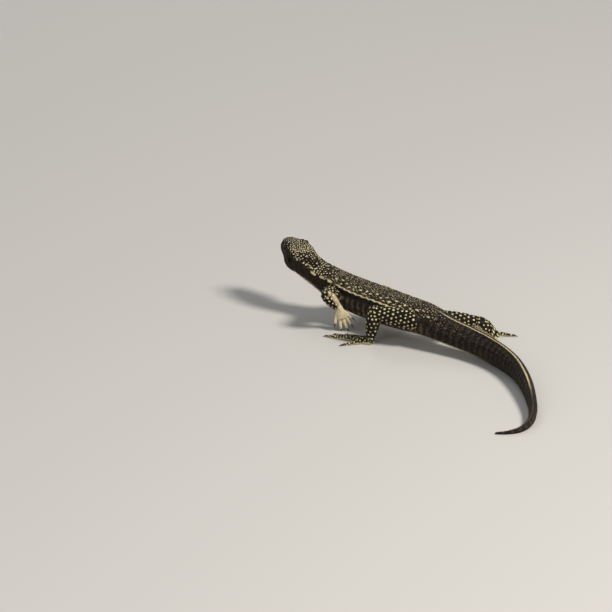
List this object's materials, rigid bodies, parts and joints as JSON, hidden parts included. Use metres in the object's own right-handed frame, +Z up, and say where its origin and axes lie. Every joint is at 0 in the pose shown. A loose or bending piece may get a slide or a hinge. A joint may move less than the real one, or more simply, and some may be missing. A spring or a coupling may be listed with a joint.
{
  "type": "savannah monitor",
  "caption": "Still, life-size savannah monitor lizard in mid stride, head raised, tail curled on the floor, standing on its own feet and tail.",
  "frame": {"origin": "on the floor under the middle of the animal's whole box, the curled tail and spread feet included", "axes": "+X the way the animal walks, along its trunk towards the head; +Y its left side; +Z up"},
  "size_m": [0.7443, 0.4225, 0.1189],
  "materials": {
    "scaly_skin": "dry, finely scaled skin, dark with yellow spots",
    "claw": "smooth dark horn",
    "eye": "wet, dark brown"
  },
  "bodies": {
    "root": {"head": "scaly_skin", "eye_left": "eye", "eye_right": "eye", "neck": "scaly_skin", "torso": "scaly_skin", "tail_base": "scaly_skin", "tail_middle": "scaly_skin", "tail_rear": "scaly_skin", "tail_curl": "scaly_skin", "tail_tip": "scaly_skin", "front_left_upper_arm": "scaly_skin", "front_left_forearm": "scaly_skin", "front_left_hand": "scaly_skin", "front_right_upper_arm": "scaly_skin", "front_right_forearm": "scaly_skin", "front_right_hand": "scaly_skin", "hind_left_thigh": "scaly_skin", "hind_left_shin": "scaly_skin", "hind_left_foot": "scaly_skin", "hind_right_thigh": "scaly_skin", "hind_right_shin": "scaly_skin", "hind_right_foot": "scaly_skin"}
  },
  "joints": []
}
